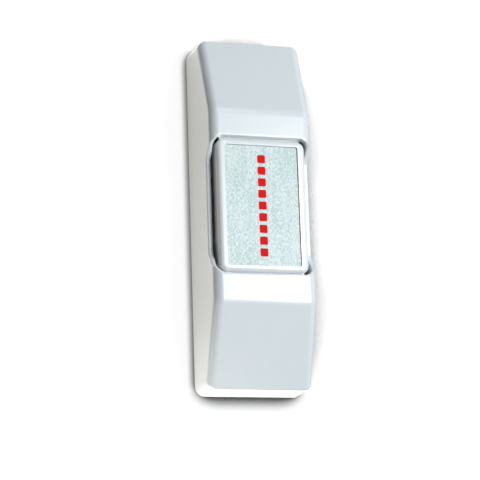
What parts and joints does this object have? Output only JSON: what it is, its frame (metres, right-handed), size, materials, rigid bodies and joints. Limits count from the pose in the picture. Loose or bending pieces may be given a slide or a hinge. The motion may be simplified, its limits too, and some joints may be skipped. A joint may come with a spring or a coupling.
{
  "type": "panic button",
  "caption": "Slim white wall-mounted panic button with sloped ends and a large spring-returned push button in a waisted middle.",
  "frame": {"origin": "centre of the back face, on the wall side", "axes": "+Z out of the wall through the button, +Y along the length to the end with the cable hole, +X across the width"},
  "size_m": [0.0264, 0.0858, 0.0176],
  "materials": {
    "cover_white": "smooth white ABS, softly glossy",
    "base_white": "fine matt white ABS",
    "label_metal": "brushed satin",
    "print_red": "screen-printed ink",
    "insulator_black": "moulded, fine grain",
    "contact_brass": "stamped, bright",
    "blade_bronze": "phosphor bronze, rolled",
    "contact_silver": "fine silver",
    "screw_steel": "zinc plated",
    "spring_steel": "drawn wire"
  },
  "bodies": {
    "housing": {"cover": "cover_white", "base_plate": "base_white", "terminal_block": "insulator_black", "common_strip": "contact_brass", "closed_strip": "contact_brass", "open_strip": "contact_brass", "contact_blade": "blade_bronze", "blade_rivet": "contact_brass", "moving_contact": "contact_silver", "closed_tip": "contact_silver", "open_tip": "contact_silver", "terminal_screw_closed": "screw_steel", "terminal_screw_common": "screw_steel", "terminal_screw_open": "screw_steel", "wire_clamp_closed": "screw_steel", "wire_clamp_common": "screw_steel", "wire_clamp_open": "screw_steel", "return_spring_upper": "spring_steel", "return_spring_lower": "spring_steel", "block_screw_left": "screw_steel", "block_screw_right": "screw_steel"},
    "button": {"button_cap": "cover_white", "label_plate": "label_metal", "label_marks": "print_red"}
  },
  "joints": [
    {"name": "button_press", "type": "slide", "parent": "housing", "child": "button", "axis": [0, 0, -1], "range_m": [0, 0.002], "stiffness_N_per_m": 1000, "springref_m": -0.0025, "deforming": ["return_spring_upper", "return_spring_lower", "contact_blade", "moving_contact"]}
  ]
}
